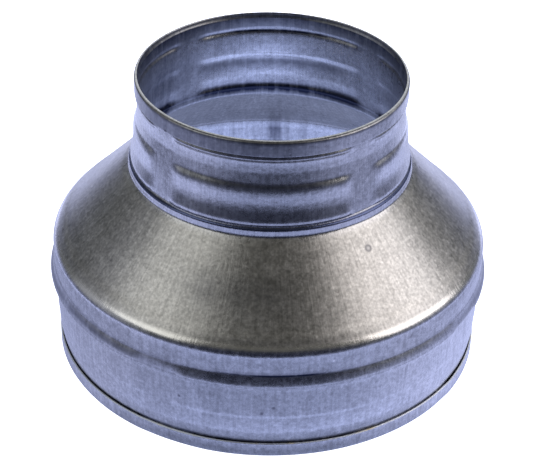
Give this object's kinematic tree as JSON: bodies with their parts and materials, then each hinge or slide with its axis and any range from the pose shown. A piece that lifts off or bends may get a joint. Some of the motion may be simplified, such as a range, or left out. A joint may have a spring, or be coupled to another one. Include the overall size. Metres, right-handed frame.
{
  "type": "duct reducer",
  "caption": "Round sheet-steel duct reducer: a beaded neck for the smaller duct on a wide cone, with a collar below for the larger duct.",
  "frame": {"origin": "centre of the collar's open end, level with the fold it stands on", "axes": "+Z along the duct's axis, from the collar up to the neck; -Y faces the viewer of the picture"},
  "size_m": [0.164, 0.164, 0.11],
  "materials": {
    "galvanised_steel": "zinc-coated sheet with a dull, mottled sheen"
  },
  "bodies": {
    "root": {"reducer_shell": "galvanised_steel"}
  },
  "joints": []
}
